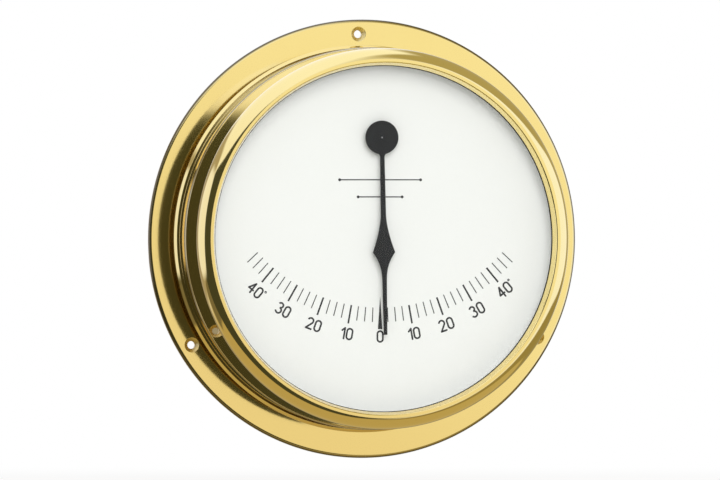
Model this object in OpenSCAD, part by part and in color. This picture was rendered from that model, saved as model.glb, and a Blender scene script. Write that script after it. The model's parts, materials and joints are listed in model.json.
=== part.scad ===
// Ship's inclinometer: a damped pendulum behind a dial, in a round brass case for a wall.
// Front faces -Y, +Z is up. The origin is the centre of the flange's back, on the wall.
// Every sub-part is drawn lying down, with its height above the wall along the local Z,
// and stand() then turns it upright.

/* [Flange] */
// Width of the wall flange outside the case wall
flange_w = 12.7; // [12:0.1:20]
// Thickness of the flange
flange_t = 3; // [2.6:0.1:4]
// Rounding of the flange's rim
rim_round = 1.2; // [0.6:0.1:1.2]
// Number of wall screw holes
wall_hole_count = 3; // [3:1:8]
// Distance from the flange's rim to the middle of a wall screw hole
wall_hole_inset = 6; // [5:0.1:6.6]
// Diameter of a wall screw hole
wall_hole_d = 3.2; // [2.8:0.1:4]
// Diameter of the countersink of a wall screw hole
wall_sink_d = 6; // [5:0.1:6.4]
// Turn of the wall screw holes against the dial, in degrees
wall_hole_turn = 1.2; // [-2:0.1:2]

/* [Case wall] */
// Outer diameter of the case wall
case_d = 154.6; // [140:0.1:170]
// Thickness of the case wall
case_wall = 3.1; // [2.6:0.1:4]
// Thickness of the neck that carries the bezel
neck_wall = 2; // [1.6:0.1:2.4]
// Width of the raised foot round the case wall, at the flange
foot_w = 2.1; // [1.4:0.1:2.6]
// Width of the raised foot at its top
foot_top_w = 1.1; // [0.5:0.1:1.3]
// Height of the raised foot above the flange
foot_h = 1.2; // [0.6:0.1:2]
// Seam left between case wall and bezel
seam_gap = 0.4; // [0.2:0.1:0.8]

/* [Bezel] */
// Length of the bezel, from its back edge to its crest
bezel_len = 27; // [22:0.1:30]
// Thickness of the bezel round the neck
bezel_wall = 1.6; // [1.2:0.1:2.4]
// Width of the rounded shoulder outside the crest
shoulder_w = 4.8; // [3:0.1:5.2]
// Depth of the rounded shoulder outside the crest
shoulder_depth = 6; // [2:0.1:8]
// Width of the flat crest
crest_w = 1.2; // [0.8:0.1:1.6]
// Rounding of the crest's inner edge
crest_round = 0.5; // [0.2:0.1:0.8]
// Width of the inner cone, from crest to opening
cone_w = 1.1; // [0.9:0.1:1.6]
// Depth of the inner cone, from crest to opening
cone_depth = 3.2; // [2:0.1:3.6]
// Thickness of the lip over the glass, at the opening
lip_t = 0.6; // [0.5:0.1:1.2]
// Rounding of the bezel's back edge
bezel_back_round = 0.4; // [0.2:0.1:0.6]
// Height of the flared rim at the back of the bezel over its side
flare_h = 0.6; // [0.3:0.1:1]
// Length of the flared rim
flare_len = 1.8; // [1:0.1:3]
// Radial clearance between neck and bezel
bezel_clearance = 0.2; // [0.1:0.05:0.3]

/* [Glass and dial] */
// Space between the front movement plate and the dial
dial_room = 3.6; // [3:0.1:6]
// Thickness of the seal between lip and glass
lip_seal_t = 0.4; // [0.2:0.1:0.8]
// Width of the lip's seal that shows inside the opening
lip_seal_reveal = 0.3; // [0:0.1:1]
// Thickness of the glass
glass_t = 2; // [1.5:0.1:3]
// Radial clearance round the glass
glass_clearance = 0.3; // [0.1:0.05:0.6]
// Thickness of the gasket behind the glass
gasket_t = 0.8; // [0.4:0.1:1.4]
// Space between the glass and the dial's face
glass_to_dial = 4; // [3.8:0.1:6]
// Thickness of the dial
dial_t = 1.2; // [0.8:0.1:1.6]
// Radial clearance round the dial and the spacer ring
dial_clearance = 0.3; // [0.1:0.05:0.5]
// Width of the ledge that carries the dial
ledge_w = 1.8; // [1.2:0.1:2.4]
// Width of the spacer ring on the dial
spacer_w = 1.6; // [1:0.1:2]
// Radial clearance of the arbor in the dial's hole
dial_hole_clearance = 0.9; // [0.4:0.1:1.2]

/* [Scale] */
// Thickness of the printed ink
ink_t = 0.06; // [0.04:0.01:0.1]
// Angle between two numbered marks, in degrees
number_step = 10; // [10:5:20]
// Last number on each side
last_number = 40; // [20:10:40]
// Angle between two marks, in degrees
mark_step = 2.5; // [2.5:2.5:5]
// Last mark on each side, in degrees
last_mark = 47.5; // [42.5:2.5:47.5]
// Distance from the pivot to the top of a small mark
mark_top = 69.6; // [68:0.1:71]
// Length of a small mark
mark_len = 5.9; // [4:0.1:6.4]
// Width of a small mark
mark_w = 0.38; // [0.2:0.02:0.5]
// Length of a numbered mark
long_mark_len = 7.6; // [6.6:0.1:8]
// Width of a numbered mark
long_mark_w = 0.7; // [0.5:0.05:0.9]
// Length of the wedge at zero
wedge_len = 13.5; // [10:0.1:15]
// Length by which the wedge at zero passes the numbered marks
wedge_over = 1.2; // [0.4:0.1:1.4]
// Width of the wedge at zero
wedge_w = 1.85; // [1:0.05:2.4]
// Gap between the numbered marks and the numbers
number_gap = 1.65; // [1:0.05:3]
// Height of a digit
digit_h = 5.1; // [4:0.1:5.4]
// Width of a digit
digit_w = 3; // [2.6:0.1:3.4]
// Stroke of a digit
digit_stroke = 0.72; // [0.4:0.02:0.8]
// Space between two digits
digit_gap = 0.45; // [0.4:0.05:1]
// Length by which the digit after a 1 moves closer, as a 1 is narrow
one_kern = 0.9; // [0:0.05:1.2]
// Diameter of the degree ring after the last number
degree_d = 1; // [0.8:0.1:1.8]
// Space between the last number and its degree ring
degree_gap = 0.15; // [0.1:0.05:0.6]
// Width of the upper ornamental rule on the dial
rule_w = 34; // [20:1:40]
// Width of the lower ornamental rule on the dial
short_rule_w = 18.5; // [10:0.5:19]
// Stroke of the ornamental rules
rule_stroke = 0.45; // [0.3:0.05:0.6]
// Distance from the pivot down to the upper rule
rule_drop = 17.3; // [14:0.1:20]
// Distance from the upper rule down to the lower rule
rule_pitch = 7; // [4:0.1:9]

/* [Pointer] */
// Diameter of the pointer's disc
disc_d = 13.8; // [10:0.1:16]
// Length of the pointer below the pivot
pointer_len = 80.7; // [76:0.1:81]
// Thickness of the pointer
pointer_t = 0.5; // [0.3:0.1:0.7]
// Gap between the pointer and the glass
pointer_to_glass = 0.6; // [0.5:0.1:1.2]
// Angle by which the pointer is set off the pendulum's line, in degrees
pointer_set = 1.1; // [0:0.05:1.5]
// Width of the blade under the disc
blade_w = 1.8; // [1.2:0.1:2.4]
// Width of the blade above the diamond
upper_w = 2.14; // [1.4:0.02:3]
// Width of the fillet where the blade leaves the disc
neck_w = 3.4; // [3:0.1:6]
// Length of the fillet where the blade leaves the disc
neck_len = 1.8; // [1.5:0.1:4]
// Width of the diamond
diamond_w = 9.3; // [5:0.1:11]
// Width of the blade at the tip
tip_w = 1.4; // [0.8:0.1:2]
// Distance from the pivot to the diamond's widest line
diamond_drop = 47; // [44:0.1:50]
// Length of the diamond above its widest line
diamond_above = 15.3; // [10:0.1:18]
// Length of the diamond below its widest line
diamond_below = 13; // [8:0.1:16]
// Diameter of the collet behind the pointer
collet_d = 5.2; // [4:0.1:7]
// Length of the collet
collet_len = 1.6; // [1:0.1:2]

/* [Movement] */
// Distance from the pivot up to the inside of the case wall
pivot_inset = 32.8; // [32:0.1:36]
// Width of a movement plate outside its pillars
plate_margin = 2; // [1:0.1:3]
// Thickness of a movement plate
plate_t = 2; // [1.5:0.1:2.4]
// Length of a pillar, the space between the plates
pillar_len = 14.8; // [14.4:0.1:15.4]
// Diameter of a pillar
pillar_d = 6; // [5:0.1:6.4]
// Gap between the damper's rim and a standoff
pillar_gap = 0.6; // [0.4:0.1:1.4]
// Angle of the lower two pillars from straight down, in degrees
pillar_angle = 100; // [95:1:104]
// Gap between the damper cup and the back cover
cup_back_gap = 0.7; // [0.4:0.1:2]
// Diameter of the long screws and of the plate screws
movement_screw_d = 2.5; // [2:0.1:3]
// Depth of the screws in a pillar
pillar_bite = 5; // [4:0.1:6]
// Radial clearance of screws and fixed pins in their holes
hole_clearance = 0.05; // [0.02:0.01:0.1]
// Diameter of the arbor in its bearings
arbor_d = 3; // [2.4:0.1:3.4]
// Diameter of the arbor's front part, under the pointer's collet
arbor_front_d = 2.2; // [1.8:0.1:2.6]
// Diameter of the arbor's tip in the pointer
arbor_tip_d = 1.2; // [0.8:0.1:1.4]
// Radial clearance of the arbor in its bearings
running_clearance = 0.03; // [0.02:0.01:0.08]
// Outer diameter of a bearing bush
bush_d = 7; // [6:0.1:8]
// Diameter of a bearing's collar
bush_collar_d = 10; // [9:0.1:11]
// Thickness of a bearing's collar
bush_collar_t = 1; // [0.6:0.1:1.2]
// End play of the pendulum's hub between the collars
end_play = 0.2; // [0.1:0.05:0.4]

/* [Pendulum] */
// Largest swing to each side, in degrees
swing_max = 50; // [45:0.5:50]
// Diameter of the pendulum's hub
hub_d = 12; // [10:0.1:14]
// Diameter of the pendulum's rod
rod_d = 3; // [2.4:0.1:3.4]
// Length of the rod below the lower nut
rod_tail = 2.8; // [0.5:0.1:3.5]
// Depth of the rod in the hub, outside the arbor
rod_bite = 3.5; // [2:0.1:3.8]
// Distance from the pivot to the middle of the bob
bob_drop = 61; // [58:0.5:61.5]
// Diameter of the bob
bob_d = 26; // [22:0.5:28]
// Thickness of the bob
bob_t = 11; // [8:0.5:13]
// Width of a bob nut across its flats
nut_w = 5.5; // [5:0.1:6]
// Height of a bob nut
nut_t = 2; // [1.6:0.1:2.4]
// Diameter of the hub's set screw
set_screw_d = 2; // [1.6:0.1:2.4]
// Distance from the pivot to the middle of a stop pin
stop_radius = 15; // [14:0.1:16]
// Diameter of a stop pin
stop_d = 2; // [1.6:0.1:2.4]
// Gap left between rod and stop pin at full swing
stop_gap = 0.1; // [0.05:0.05:0.3]

/* [Damper] */
// Inner diameter of the damper cup
cup_bore_d = 20.8; // [18:0.1:21]
// Wall and floor of the damper cup
cup_wall = 1.2; // [0.8:0.1:1.2]
// Width of the damper cup's rim
cup_rim_w = 3.8; // [3.4:0.1:4.4]
// Thickness of the damper cup's rim
cup_rim_t = 1.4; // [1:0.1:1.8]
// Depth of the oil space
oil_depth = 4.4; // [4:0.1:4.6]
// Thickness of the damper's cover
cup_cover_t = 2; // [1.8:0.1:2.1]
// Thickness of the rotor's disc
rotor_t = 1.4; // [1:0.1:1.8]
// Gap between the rotor and the cup's wall
rotor_gap = 0.8; // [0.5:0.1:1.2]
// Diameter of the rotor's hub
rotor_hub_d = 6; // [5:0.1:7]
// Height of the rotor's hub
rotor_hub_t = 2.6; // [2:0.1:3]
// Thickness of the ring seal's cord
seal_cord = 1.3; // [1:0.1:1.4]
// Diameter of a damper screw
cup_screw_d = 1.6; // [1.2:0.1:1.8]
// Diameter of a damper screw's head
cup_head_d = 2.8; // [2.4:0.1:3]

/* [Back cover] */
// Room between the standoffs and the ring that carries the back cover
cover_room = 3.6; // [2:0.1:4.6]
// Width of the ring that carries the back cover
cover_seat_w = 5; // [4:0.1:5.6]
// Depth of the recess for the back cover
recess_depth = 2.8; // [2.6:0.1:3]
// Thickness of the ring that carries the back cover
cover_seat_t = 3.2; // [2.6:0.1:4]
// Thickness of the back cover
cover_t = 2; // [1.8:0.1:2.2]
// Thickness of the gasket under the back cover
cover_gasket_t = 0.5; // [0.3:0.05:0.7]
// Radial clearance round the back cover
cover_clearance = 0.3; // [0.1:0.05:0.6]
// Number of back cover screws
cover_screw_count = 6; // [4:1:12]
// Diameter of a back cover screw
cover_screw_d = 2; // [1.6:0.1:2.2]
// Depth of a back cover screw in its ring
cover_bite = 2.4; // [2:0.1:2.5]

/* [Hidden] */
$fn = 96;
// Overlap that keeps cutting tools clear of the faces they cut
cut = 1;

// Diameters, from the case wall outwards and inwards
flange_d = case_d + 2 * flange_w;
wall_hole_pcd = flange_d - 2 * wall_hole_inset;
case_bore_d = case_d - 2 * case_wall;
neck_d = case_bore_d + 2 * neck_wall;
bezel_bore_d = neck_d + 2 * bezel_clearance;
bezel_d = bezel_bore_d + 2 * bezel_wall;
crest_d = bezel_d - 2 * shoulder_w;
opening_d = crest_d - 2 * (crest_w + cone_w);
glass_d = bezel_bore_d - 2 * glass_clearance;
dial_d = case_bore_d - 2 * dial_clearance;

// Diameters about the pivot
cup_d = cup_bore_d + 2 * cup_wall;
cup_rim_d = cup_d + 2 * cup_rim_w;
cup_screw_pcd = cup_d + cup_rim_w;
pillar_pcd = cup_rim_d + pillar_d + 2 * pillar_gap;
plate_d = pillar_pcd + pillar_d + 2 * plate_margin;

// Place of the pivot above the middle of the case, and the back cover's ring round the movement
pivot_height = case_bore_d / 2 - pivot_inset;
cover_seat_d = 2 * pivot_height + pillar_pcd + pillar_d + 2 * cover_room;
cover_screw_pcd = cover_seat_d + cover_seat_w;
recess_d = cover_seat_d + 2 * cover_seat_w;

// Heights above the wall, from the back forwards
cover_front = recess_depth - cover_gasket_t;
cover_back = cover_front - cover_t;
seat_front = recess_depth + cover_seat_t;
cup_back = cover_front + cup_back_gap;
cup_floor = cup_back + cup_wall;
cup_top = cup_floor + oil_depth;
rear_plate_back = cup_top + cup_cover_t;
rear_plate_front = rear_plate_back + plate_t;
front_plate_back = rear_plate_front + pillar_len;
front_plate_front = front_plate_back + plate_t;
dial_back = front_plate_front + dial_room;
dial_face = dial_back + dial_t;
glass_back = dial_face + glass_to_dial;
glass_front = glass_back + glass_t;
lip_back = glass_front + lip_seal_t;
lip_height = lip_back + lip_t;
crest_height = lip_height + cone_depth;
bezel_back = crest_height - bezel_len;
neck_top = glass_back - gasket_t;
pointer_front = glass_back - pointer_to_glass;
pointer_back = pointer_front - pointer_t;

// The arbor's rear end keeps clear of the cup's floor, and its front end of the glass
arbor_gap = 0.3;
arbor_start = cup_floor + arbor_gap;
arbor_step = (front_plate_front + dial_back) / 2;
arbor_end = pointer_front + pointer_to_glass / 2;

// The rod hangs midway between the plates, its tail below the lower nut
rod_height = rear_plate_front + pillar_len / 2;
bob_flat_share = 0.94;
bob_flat = bob_d / 2 * bob_flat_share;
rod_len = bob_drop + bob_flat + nut_t + rod_tail;

// Steps in the bezel's rounded shoulder
shoulder_steps = 24;

// Room left at the bottom of a tapped hole
tap_room = 0.3;

// Where the blade's fillet starts on the disc, as a share of its radius
neck_share = 0.92;

// Slots in screw heads, as shares of the head
slot_share = 0.18;
slot_depth_share = 0.45;

// Screw heads, as multiples of the shank's diameter
pan_head_share = 1.9;
pan_height_share = 0.6;
flat_head_share = 1.8;
cup_head_share = 0.7;
movement_head_d = movement_screw_d * pan_head_share;
pan_head_t = movement_screw_d * pan_height_share;
cover_head_d = cover_screw_d * flat_head_share;
cup_head_t = cup_screw_d * cup_head_share;

// The rod meets a stop pin's side at full swing
stop_angle = swing_max + asin((rod_d / 2 + stop_d / 2 + stop_gap) / stop_radius);
pillar_angles = [180, pillar_angle, -pillar_angle];

// Turns a piece that was drawn lying on its back upright, facing -Y
module stand() {
    rotate([90, 0, 0]) children();
}

// Moves to the pivot
module at_pivot() {
    translate([0, pivot_height, 0]) children();
}

// A turned solid from a half section, its points being [radius, height above the wall]
module turned(section) {
    rotate_extrude($fn = 180) polygon(section);
}

// Points of an arc about a centre, from one angle to another
function arc_points(centre, r, from, to, steps = 10) = [
    for (i = [0 : steps])
        let (a = from + (to - from) * i / steps)
        [centre[0] + r * cos(a), centre[1] + r * sin(a)]
];

// A flat tube between two heights
module tube(outer_d, inner_d, from, to) {
    translate([0, 0, from])
        difference() {
            cylinder(d = outer_d, h = to - from);
            translate([0, 0, -cut]) cylinder(d = inner_d, h = to - from + 2 * cut);
        }
}

// A bore along the local Z between two heights, cut clear at both ends
module bore(d, from, to) {
    translate([0, 0, from - cut]) cylinder(d = d, h = to - from + 2 * cut);
}

// Repeats a child on a circle, the first copy straight up
module on_circle(pcd, count) {
    for (i = [0 : count - 1])
        rotate([0, 0, 90 + i * 360 / count]) translate([pcd / 2, 0, 0]) children();
}

// Repeats a child at the three damper screws, which stand clear of the stop pins
module at_cup_screws() {
    rotate([0, 0, 180]) on_circle(cup_screw_pcd, 3) children();
}

// Repeats a child on the circle of pillars about the pivot
module at_pillars() {
    at_pivot()
        for (a = pillar_angles) rotate([0, 0, a]) translate([0, -pillar_pcd / 2, 0]) children();
}

// A slotted flat-head screw: its head's face at height 0, its shank running up the local Z
module flat_head_screw(head_d, shank_d, length) {
    head_t = (head_d - shank_d) / 2;
    difference() {
        union() {
            cylinder(d1 = head_d, d2 = shank_d, h = head_t);
            cylinder(d = shank_d, h = length);
        }
        slot(head_d, head_t);
    }
}

// A slotted cheese-head screw: its shank runs up the local Z, its head lies below height 0
module cheese_head_screw(head_d, head_t, shank_d, length) {
    difference() {
        union() {
            translate([0, 0, -head_t]) cylinder(d = head_d, h = head_t);
            cylinder(d = shank_d, h = length);
        }
        translate([0, 0, -head_t]) slot(head_d, head_t);
    }
}

// The screwdriver slot of a head whose face is at height 0
module slot(head_d, head_t) {
    slot_w = head_d * slot_share;
    slot_t = head_t * slot_depth_share;
    translate([-head_d / 2 - cut, -slot_w / 2, -cut]) cube([head_d + 2 * cut, slot_w, slot_t + cut]);
}

// The hole for a flat-head screw: clearance hole with its countersink, mouth at height 0
module flat_head_hole(head_d, shank_d, depth) {
    hole_d = shank_d + 2 * hole_clearance;
    sink_d = head_d + 2 * hole_clearance;
    sink_t = (sink_d - hole_d) / 2;
    translate([0, 0, -cut]) cylinder(d = hole_d, h = depth + cut);
    translate([0, 0, -cut]) cylinder(d = sink_d, h = cut);
    cylinder(d1 = sink_d, d2 = hole_d, h = sink_t);
}

// Flange, wall and neck in one turned casting, with a ledge for the dial and a seat for the cover
module case_shell() {
    flange_r = flange_d / 2;
    case_r = case_d / 2;
    case_bore_r = case_bore_d / 2;
    ledge_r = case_bore_r - ledge_w;
    section = concat(
        [[recess_d / 2, 0]],
        arc_points([flange_r - rim_round, rim_round], rim_round, -90, 0),
        arc_points([flange_r - rim_round, flange_t - rim_round], rim_round, 0, 90),
        [
            [case_r + foot_w, flange_t],
            [case_r + foot_top_w, flange_t + foot_h],
            [case_r, flange_t + foot_h],
            [case_r, bezel_back - seam_gap],
            [neck_d / 2, bezel_back - seam_gap],
            [neck_d / 2, neck_top],
            [case_bore_r, neck_top],
            [case_bore_r, dial_back],
            [ledge_r, dial_back],
            [ledge_r, dial_back - ledge_w],
            [case_bore_r, dial_back - 2 * ledge_w],
            [case_bore_r, seat_front],
            [cover_seat_d / 2, seat_front],
            [cover_seat_d / 2, recess_depth],
            [recess_d / 2, recess_depth]
        ]
    );
    color("goldenrod")
        stand()
            difference() {
                turned(section);
                rotate([0, 0, wall_hole_turn])
                    on_circle(wall_hole_pcd, wall_hole_count) {
                        bore(wall_hole_d, 0, flange_t);
                        wall_sink();
                    }
                on_circle(cover_screw_pcd, cover_screw_count)
                    translate([0, 0, recess_depth - cut])
                        cylinder(d = cover_screw_d + 2 * hole_clearance, h = cover_bite + cut + tap_room);
            }
}

// The countersink of a wall screw hole, open to the front
module wall_sink() {
    sink_t = (wall_sink_d - wall_hole_d) / 2;
    translate([0, 0, flange_t - sink_t]) cylinder(d1 = wall_hole_d, d2 = wall_sink_d, h = sink_t);
    translate([0, 0, flange_t]) cylinder(d = wall_sink_d, h = cut);
}

// Screwed ring with a round shoulder, a flat crest and a cone down to the lip that holds the glass
module bezel() {
    bezel_r = bezel_d / 2;
    flare_r = bezel_r + flare_h;
    bezel_bore_r = bezel_bore_d / 2;
    opening_r = opening_d / 2;
    crest_r = crest_d / 2;
    shoulder_start = crest_height - shoulder_depth;
    shoulder = [
        for (i = [0 : shoulder_steps])
            let (a = 90 * i / shoulder_steps)
            [crest_r + shoulder_w * cos(a), shoulder_start + shoulder_depth * sin(a)]
    ];
    // The rounding touches both the crest and the cone, and it turns from the one to the other
    cone_turn = atan2(cone_depth, cone_w);
    corner_r = crest_r - crest_w;
    round_middle = [corner_r + crest_round * tan(cone_turn / 2), crest_height - crest_round];
    section = concat(
        [[bezel_bore_r, bezel_back]],
        arc_points([flare_r - bezel_back_round, bezel_back + bezel_back_round], bezel_back_round, -90, 0),
        [[bezel_r, bezel_back + flare_len]],
        shoulder,
        arc_points(round_middle, crest_round, 90, 90 + cone_turn),
        [
            [opening_r, lip_height],
            [opening_r, lip_back],
            [bezel_bore_r, lip_back]
        ]
    );
    color("gold") stand() turned(section);
}

// Thin rubber ring between lip and glass, which shows as a dark line inside the lip
module lip_seal() {
    color("black") stand() tube(glass_d, opening_d - 2 * lip_seal_reveal, glass_front, lip_back);
}

// Flat round pane behind the lip's seal
module glass() {
    color([0.85, 0.92, 0.95, 0.3])
        stand() translate([0, 0, glass_back]) cylinder(d = glass_d, h = glass_t, $fn = 180);
}

// Rubber ring between glass and neck
module glass_gasket() {
    color("dimgray") stand() tube(glass_d, case_bore_d, neck_top, glass_back);
}

// Ring that holds the dial down on its ledge, its front flush with the neck
module spacer_ring() {
    color("whitesmoke") stand() tube(dial_d, dial_d - 2 * spacer_w, dial_face, neck_top);
}

// White dial, with one hole for the arbor
module dial_plate() {
    color("white")
        stand()
            difference() {
                translate([0, 0, dial_back]) cylinder(d = dial_d, h = dial_t, $fn = 180);
                at_pivot() bore(arbor_front_d + 2 * dial_hole_clearance, dial_back, dial_face);
            }
}

// A straight printed stroke between two points, with round ends
module stroke(from, to, w = digit_stroke) {
    run = to - from;
    for (end = [from, to]) translate(end) cylinder(d = w, h = ink_t, $fn = 16);
    translate(from) rotate(atan2(run[1], run[0])) translate([0, -w / 2, 0]) cube([norm(run), w, ink_t]);
}

// A curved printed stroke about a centre, from one angle round to a larger one
module curved_stroke(centre, r, from, to, w = digit_stroke) {
    wedge = concat([[0, 0]], arc_points([0, 0], 2 * r, from, to, 8));
    translate(centre)
        intersection() {
            tube(2 * r + w, 2 * r - w, 0, ink_t);
            translate([0, 0, -cut]) linear_extrude(ink_t + 2 * cut) polygon(wedge);
        }
}

// The five digits that the scale needs, each drawn about its middle
module digit(value) {
    x = (digit_w - digit_stroke) / 2;
    y = (digit_h - digit_stroke) / 2;
    if (value == 0) {
        for (side = [-1, 1]) {
            stroke([side * x, -(y - x)], [side * x, y - x]);
            curved_stroke([0, side * (y - x)], x, side > 0 ? 0 : 180, side > 0 ? 180 : 360);
        }
    }
    if (value == 1) {
        stroke([x / 3, -y], [x / 3, y]);
        stroke([x / 3, y], [-x * 0.6, y * 0.5]);
    }
    if (value == 2) {
        curved_stroke([0, y - x], x, -40, 165);
        stroke([x * cos(-40), y - x + x * sin(-40)], [-x, -y]);
        stroke([-x, -y], [x, -y]);
    }
    if (value == 3) {
        upper = y * 0.46;
        lower = y * 0.54;
        curved_stroke([0, y - upper], upper, -90, 160);
        curved_stroke([0, -y + lower], lower, -160, 90);
    }
    if (value == 4) {
        stroke([x * 0.45, -y], [x * 0.45, y]);
        stroke([x * 0.45, y], [-x, -y * 0.35]);
        stroke([-x, -y * 0.35], [x, -y * 0.35]);
    }
}

// A number from 0 to 99 about its middle
module number(value) {
    tens = floor(value / 10);
    pitch = digit_w + digit_gap - (tens == 1 ? one_kern : 0);
    if (tens == 0) {
        digit(value);
    } else {
        translate([-pitch / 2, 0, 0]) digit(tens);
        translate([pitch / 2, 0, 0]) digit(value % 10);
    }
}

// Printed marks, numbers and two plain ornamental rules
module dial_scale() {
    mark_count = last_mark / mark_step;
    number_count = last_number / number_step;
    number_radius = mark_top + long_mark_len + number_gap + digit_h / 2;
    degree_x = digit_w + digit_gap / 2 + degree_gap + degree_d / 2;
    degree_y = -number_radius + (digit_h - degree_d) / 2;
    color("black")
        stand()
            at_pivot()
                translate([0, 0, dial_face]) {
                    for (i = [-mark_count : mark_count])
                        if (i != 0) rotate(i * mark_step) scale_mark((i * mark_step) % number_step == 0);
                    zero_wedge();
                    for (i = [-number_count : number_count])
                        rotate(i * number_step)
                            translate([0, -number_radius, 0]) number(abs(i) * number_step);
                    for (side = [-1, 1])
                        rotate(side * last_number) translate([degree_x, degree_y, 0]) degree_ring();
                    ornamental_rule(rule_w, rule_drop);
                    ornamental_rule(short_rule_w, rule_drop + rule_pitch);
                }
}

// One mark of the scale, straight below the pivot
module scale_mark(numbered) {
    w = numbered ? long_mark_w : mark_w;
    length = numbered ? long_mark_len : mark_len;
    translate([-w / 2, -mark_top - length, 0]) cube([w, length, ink_t]);
}

// The mark at zero, its point towards the pivot
module zero_wedge() {
    foot = mark_top + long_mark_len + wedge_over;
    linear_extrude(ink_t) polygon([[0, wedge_len - foot], [-wedge_w / 2, -foot], [wedge_w / 2, -foot]]);
}

// Small ring that stands for degrees
module degree_ring() {
    stroke_w = 0.45 * digit_stroke;
    tube(degree_d, degree_d - 2 * stroke_w, 0, ink_t);
}

// A thin level rule with a round stud at each end
module ornamental_rule(w, drop) {
    translate([-w / 2, -drop - rule_stroke / 2, 0]) cube([w, rule_stroke, ink_t]);
    for (side = [-1, 1])
        translate([side * w / 2, -drop, 0]) cylinder(d = 2.6 * rule_stroke, h = ink_t, $fn = 32);
}

// Plate that closes the back and carries the movement
module back_cover() {
    color("darkgoldenrod")
        stand()
            difference() {
                translate([0, 0, cover_back]) cylinder(d = recess_d - 2 * cover_clearance, h = cover_t, $fn = 180);
                on_circle(cover_screw_pcd, cover_screw_count)
                    translate([0, 0, cover_back]) flat_head_hole(cover_head_d, cover_screw_d, cover_t + cut);
                at_pillars()
                    translate([0, 0, cover_back])
                        flat_head_hole(movement_head_d, movement_screw_d, cover_t + cut);
            }
}

// Flat gasket between back cover and seat
module back_gasket() {
    color("dimgray")
        stand()
            difference() {
                tube(recess_d - 2 * cover_clearance, cover_seat_d, cover_front, recess_depth);
                on_circle(cover_screw_pcd, cover_screw_count)
                    bore(cover_screw_d + 2 * hole_clearance, cover_front, recess_depth);
            }
}

// Flat-head screws that hold the back cover
module cover_screws() {
    color("silver")
        stand()
            on_circle(cover_screw_pcd, cover_screw_count)
                translate([0, 0, cover_back])
                    flat_head_screw(cover_head_d, cover_screw_d, recess_depth - cover_back + cover_bite);
}

// Tubes between back cover and rear plate
module standoffs() {
    color("goldenrod")
        stand()
            at_pillars()
                tube(pillar_d, movement_screw_d + 2 * hole_clearance, cover_front, rear_plate_back);
}

// Long flat-head screws through cover, standoffs and rear plate into the pillars
module movement_screws() {
    color("silver")
        stand()
            at_pillars()
                translate([0, 0, cover_back])
                    flat_head_screw(
                        movement_head_d, movement_screw_d,
                        rear_plate_front - cover_back + pillar_bite - cut
                    );
}

// A round movement plate about the pivot, with its bush seat and its screw holes
module movement_plate(back) {
    difference() {
        at_pivot() translate([0, 0, back]) cylinder(d = plate_d, h = plate_t, $fn = 120);
        at_pivot() bore(bush_d + 2 * hole_clearance, back, back + plate_t);
        at_pillars() bore(movement_screw_d + 2 * hole_clearance, back, back + plate_t);
    }
}

// Plate that carries the damper, the stop pins and the rear bearing
module rear_plate() {
    color("khaki")
        stand()
            difference() {
                movement_plate(rear_plate_back);
                at_stops() bore(stop_d + 2 * hole_clearance, rear_plate_back, rear_plate_front);
                at_pivot()
                    at_cup_screws()
                        bore(cup_screw_d + 2 * hole_clearance, rear_plate_back, rear_plate_front);
            }
}

// Plate that carries the front bearing
module front_plate() {
    color("khaki") stand() movement_plate(front_plate_back);
}

// Round pillars that hold the plates apart, drilled and tapped at both ends
module pillars() {
    hole_d = movement_screw_d + 2 * hole_clearance;
    color("darkkhaki")
        stand()
            at_pillars()
                difference() {
                    translate([0, 0, rear_plate_front]) cylinder(d = pillar_d, h = pillar_len);
                    translate([0, 0, rear_plate_front - cut]) cylinder(d = hole_d, h = pillar_bite + cut);
                    translate([0, 0, front_plate_back - pillar_bite])
                        cylinder(d = hole_d, h = pillar_bite + cut);
                }
}

// Cheese-head screws that hold the front plate on the pillars
module plate_screws() {
    color("silver")
        stand()
            at_pillars()
                translate([0, 0, front_plate_front])
                    mirror([0, 0, 1])
                        cheese_head_screw(
                            movement_head_d, pan_head_t, movement_screw_d, plate_t + pillar_bite - cut
                        );
}

// Bush in a movement plate, its collar towards the pendulum
module bearing(plate_back, collar_from) {
    bore_d = arbor_d + 2 * running_clearance;
    at_pivot() {
        tube(bush_d, bore_d, plate_back, plate_back + plate_t);
        tube(bush_collar_d, bore_d, collar_from, collar_from + bush_collar_t);
    }
}

// Rear bush
module rear_bearing() {
    color("peru") stand() bearing(rear_plate_back, rear_plate_front);
}

// Front bush
module front_bearing() {
    color("peru") stand() bearing(front_plate_back, front_plate_back - bush_collar_t);
}

// Repeats a child at the two stop pins
module at_stops() {
    at_pivot()
        for (side = [-1, 1])
            rotate([0, 0, side * stop_angle]) translate([0, -stop_radius, 0]) children();
}

// Pins that the pendulum's rod meets at the end of its swing
module stop_pins() {
    color("lightgray")
        stand()
            at_stops()
                translate([0, 0, rear_plate_back])
                    cylinder(d = stop_d, h = rod_height + rod_d - rear_plate_back);
}

// Cup that holds the damping oil, hung behind the rear plate by its rim
module damper_cup() {
    color("silver")
        stand()
            at_pivot()
                difference() {
                    union() {
                        translate([0, 0, cup_back]) cylinder(d = cup_d, h = cup_top - cup_back);
                        translate([0, 0, cup_top - cup_rim_t]) cylinder(d = cup_rim_d, h = cup_rim_t);
                    }
                    translate([0, 0, cup_floor]) cylinder(d = cup_bore_d, h = oil_depth + cut);
                    at_cup_screws()
                        bore(cup_screw_d + 2 * hole_clearance, cup_top - cup_rim_t, cup_top);
                }
}

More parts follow.
